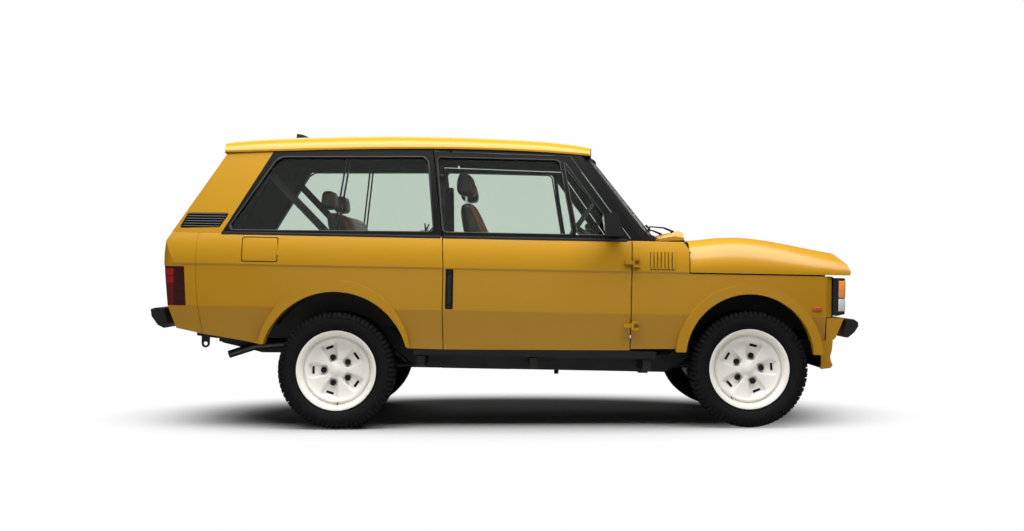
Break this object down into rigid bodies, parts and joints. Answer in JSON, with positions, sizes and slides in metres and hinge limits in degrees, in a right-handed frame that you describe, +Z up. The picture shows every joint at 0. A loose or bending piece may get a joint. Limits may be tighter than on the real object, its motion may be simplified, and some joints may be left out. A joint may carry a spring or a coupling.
{
  "type": "utility car",
  "caption": "Classic boxy off-road car with opening doors, bonnet and split tailgate, on steerable rolling wheels.",
  "frame": {"origin": "on the ground under the middle of the bounding box", "axes": "+X towards the front of the car, +Y to its left, +Z up"},
  "size_m": [4.338, 2.02, 1.901],
  "materials": {
    "bare_steel": "bare",
    "black_paint": "satin black",
    "black_plastic": "moulded grain",
    "body_paint": "satin golden yellow",
    "cast_iron": "cast",
    "chassis_paint": "semi-gloss black",
    "glass": "clear, faint green",
    "lamp_clear": "ribbed lens",
    "lamp_red": "clear red lens",
    "leather": "tan hide",
    "trim": "moulded",
    "tyre": "matt",
    "wheel_paint": "satin ivory"
  },
  "bodies": {
    "chassis": {"body_frame": "black_paint", "cross_members": "chassis_paint", "dashboard": "trim", "engine_gearbox": "cast_iron", "exhaust": "bare_steel", "floor_pan": "chassis_paint", "frame_rails": "chassis_paint", "front_apron": "body_paint", "front_axle": "chassis_paint", "front_bumper": "black_plastic", "front_lamps": "lamp_clear", "front_seats": "leather", "front_wing_left": "body_paint", "front_wing_right": "body_paint", "fuel_tank": "chassis_paint", "grille": "black_plastic", "headlamps": "lamp_clear", "inner_wings": "chassis_paint", "lashing_eyes": "chassis_paint", "outriggers": "chassis_paint", "propshafts": "chassis_paint", "rear_axle": "chassis_paint", "rear_bumper": "black_plastic", "rear_seat": "leather", "roof_fin": "black_plastic", "roof_panel": "body_paint", "scuttle_panel": "body_paint", "side_glass": "glass", "side_panel_left": "body_paint", "side_panel_right": "body_paint", "springs": "chassis_paint", "steering_wheel": "trim", "suspension_arms": "chassis_paint", "tail_lamps": "lamp_red", "tail_panel": "body_paint", "windscreen": "glass"},
    "door_left": {"door_left": "body_paint", "door_glass_left": "glass", "mirror_left": "black_plastic"},
    "door_right": {"door_right": "body_paint", "door_glass_right": "glass", "mirror_right": "black_plastic"},
    "bonnet": {"bonnet": "body_paint"},
    "tailgate_upper": {"tailgate_upper": "body_paint", "tailgate_glass": "glass"},
    "tailgate_lower": {"tailgate_lower": "body_paint"},
    "fuel_flap": {"fuel_flap": "body_paint"},
    "knuckle_left": {"knuckle_left": "bare_steel"},
    "knuckle_right": {"knuckle_right": "bare_steel"},
    "track_rod": {"track_rod": "bare_steel"},
    "wheel_front_left": {"tyre_front_left": "tyre", "rim_front_left": "wheel_paint"},
    "wheel_front_right": {"tyre_front_right": "tyre", "rim_front_right": "wheel_paint"},
    "wheel_rear_left": {"tyre_rear_left": "tyre", "rim_rear_left": "wheel_paint"},
    "wheel_rear_right": {"tyre_rear_right": "tyre", "rim_rear_right": "wheel_paint"}
  },
  "joints": [
    {"name": "door_left_hinge", "type": "hinge", "parent": "chassis", "child": "door_left", "pos_m": [0.7817, 0.899, 0.82751], "axis": [-0.0227, 0, -0.9997], "range_deg": [0, 65]},
    {"name": "door_right_hinge", "type": "hinge", "parent": "chassis", "child": "door_right", "pos_m": [0.7817, -0.899, 0.82751], "axis": [0.0227, 0, 0.9997], "range_deg": [0, 65]},
    {"name": "bonnet_hinge", "type": "hinge", "parent": "chassis", "child": "bonnet", "pos_m": [1.14065, 0, 1.12945], "axis": [0, -1, 0], "range_deg": [0, 50]},
    {"name": "tailgate_upper_hinge", "type": "hinge", "parent": "chassis", "child": "tailgate_upper", "pos_m": [-1.78403, 0, 1.70595], "axis": [0, 1, 0], "range_deg": [0, 75]},
    {"name": "tailgate_lower_hinge", "type": "hinge", "parent": "chassis", "child": "tailgate_lower", "pos_m": [-2.06495, 0, 0.78708], "axis": [0, -1, 0], "range_deg": [0, 90]},
    {"name": "fuel_flap_hinge", "type": "hinge", "parent": "chassis", "child": "fuel_flap", "pos_m": [-1.39753, -0.872, 1.10653], "axis": [0.0221, 0.2204, 0.9751], "range_deg": [0, 90]},
    {"name": "steer_left", "type": "hinge", "parent": "chassis", "child": "knuckle_left", "pos_m": [1.496, 0.65, 0.362], "axis": [0, 0, 1], "range_deg": [-30, 30]},
    {"name": "steer_right", "type": "hinge", "parent": "chassis", "child": "knuckle_right", "pos_m": [1.496, -0.65, 0.362], "axis": [0, 0, 1], "range_deg": [-30, 30]},
    {"name": "track_rod_pin", "type": "hinge", "parent": "knuckle_left", "child": "track_rod", "pos_m": [1.331, 0.596, 0.302], "axis": [0, 0, 1], "range_deg": [-30, 30]},
    {"name": "wheel_front_left_spin", "type": "hinge", "parent": "knuckle_left", "child": "wheel_front_left", "pos_m": [1.496, 0.743, 0.362], "axis": [0, 1, 0], "continuous": true},
    {"name": "wheel_front_right_spin", "type": "hinge", "parent": "knuckle_right", "child": "wheel_front_right", "pos_m": [1.496, -0.743, 0.362], "axis": [0, 1, 0], "continuous": true},
    {"name": "wheel_rear_left_spin", "type": "hinge", "parent": "chassis", "child": "wheel_rear_left", "pos_m": [-1.044, 0.743, 0.362], "axis": [0, 1, 0], "continuous": true},
    {"name": "wheel_rear_right_spin", "type": "hinge", "parent": "chassis", "child": "wheel_rear_right", "pos_m": [-1.044, -0.743, 0.362], "axis": [0, 1, 0], "continuous": true}
  ],
  "couplings": [
    {"joint": "steer_right", "follows": "steer_left", "ratio": 1},
    {"joint": "track_rod_pin", "follows": "steer_left", "ratio": -1}
  ]
}
